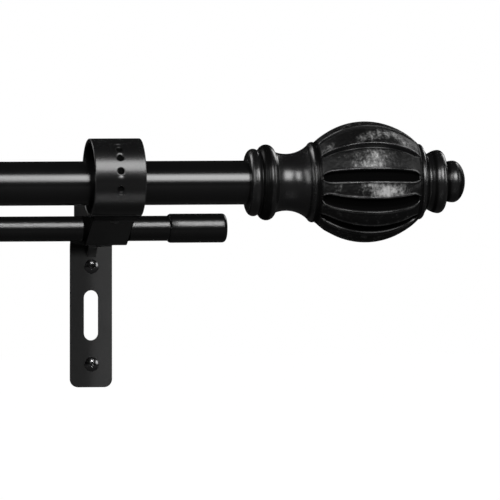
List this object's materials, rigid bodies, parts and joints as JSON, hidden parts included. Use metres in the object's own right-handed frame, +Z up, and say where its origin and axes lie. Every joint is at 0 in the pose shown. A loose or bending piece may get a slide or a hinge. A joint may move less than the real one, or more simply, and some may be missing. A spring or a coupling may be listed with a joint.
{
  "type": "double curtain pole",
  "caption": "Double curtain pole: thick front pole with fluted bulb finials, thin capped back pole and bent strap wall brackets with pole rings.",
  "frame": {"origin": "in the wall plane, midway between the brackets and halfway between the upper and the lower wall screws", "axes": "+X along the poles to the right as seen from the room, +Y into the wall, +Z up"},
  "size_m": [0.9818, 0.1611, 0.1712],
  "materials": {
    "pole": "satin black",
    "finial": "satin black, rubbed grey ribs",
    "bracket": "satin black",
    "fastener": "black",
    "zinc": "zinc plated",
    "nylon": "moulded nylon"
  },
  "bodies": {
    "root": {"front_pole": "pole", "back_pole": "pole", "right_finial": "finial", "left_finial": "finial", "right_finial_stud": "zinc", "left_finial_stud": "zinc", "right_pole_plug": "nylon", "left_pole_plug": "nylon", "right_end_cap": "pole", "left_end_cap": "pole", "right_bracket_strap": "bracket", "left_bracket_strap": "bracket", "right_pole_ring": "bracket", "left_pole_ring": "bracket", "right_ring_stay": "bracket", "left_ring_stay": "bracket", "right_pole_saddle": "nylon", "left_pole_saddle": "nylon", "right_strap_rivet": "fastener", "left_strap_rivet": "fastener", "right_foot_rivet": "fastener", "left_foot_rivet": "fastener", "right_tab_rivet": "fastener", "left_tab_rivet": "fastener", "right_lock_screw": "fastener", "left_lock_screw": "fastener", "right_upper_wall_screw": "fastener", "left_upper_wall_screw": "fastener", "right_lower_wall_screw": "fastener", "left_lower_wall_screw": "fastener"}
  },
  "joints": []
}
